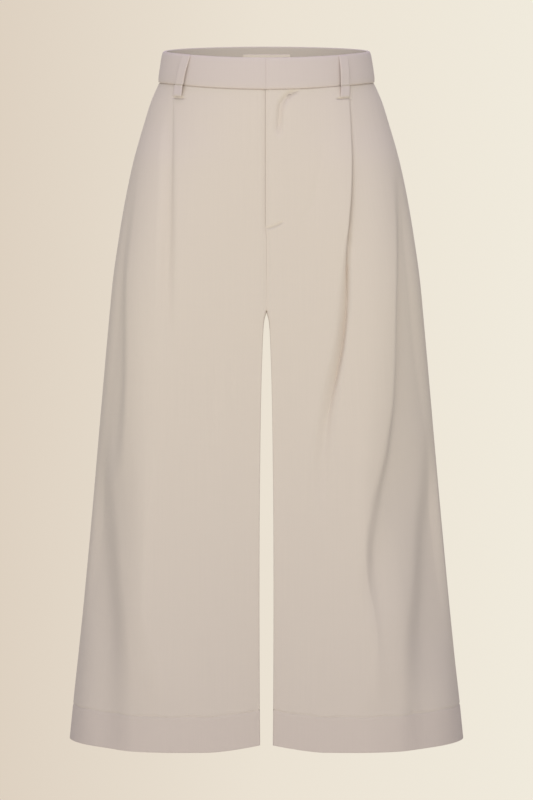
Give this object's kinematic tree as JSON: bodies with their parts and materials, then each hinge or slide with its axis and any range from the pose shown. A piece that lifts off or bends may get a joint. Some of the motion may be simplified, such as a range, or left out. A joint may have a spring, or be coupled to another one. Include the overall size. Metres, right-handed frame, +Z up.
{
  "type": "culottes",
  "caption": "Wide-leg cropped trousers in plain cloth with a waistband, belt loops, a hidden fly, a knife pleat in each front and deep hems, filled out as if worn.",
  "frame": {"origin": "on the axis of the body, at the middle of the waistband's height at the side seams", "axes": "+Z up, towards the waistband's top edge; +X to the wearer's left; -Y out of the front"},
  "size_m": [0.4816, 0.2666, 0.8536],
  "materials": {
    "sand_cloth": "matt, smooth and fine, pale stone",
    "label_cloth": "smooth satin ribbon, blank"
  },
  "bodies": {
    "root": {"front_left": "sand_cloth", "front_right": "sand_cloth", "back_left": "sand_cloth", "back_right": "sand_cloth", "hem_front_left": "sand_cloth", "hem_front_right": "sand_cloth", "hem_back_left": "sand_cloth", "hem_back_right": "sand_cloth", "fly_shield": "sand_cloth", "waistband_front_left": "sand_cloth", "waistband_front_right": "sand_cloth", "waistband_back": "sand_cloth", "label": "label_cloth", "belt_loop_front_left": "sand_cloth", "belt_loop_front_right": "sand_cloth", "belt_loop_back_left": "sand_cloth", "belt_loop_back_right": "sand_cloth", "belt_loop_centre_back": "sand_cloth"}
  },
  "joints": []
}
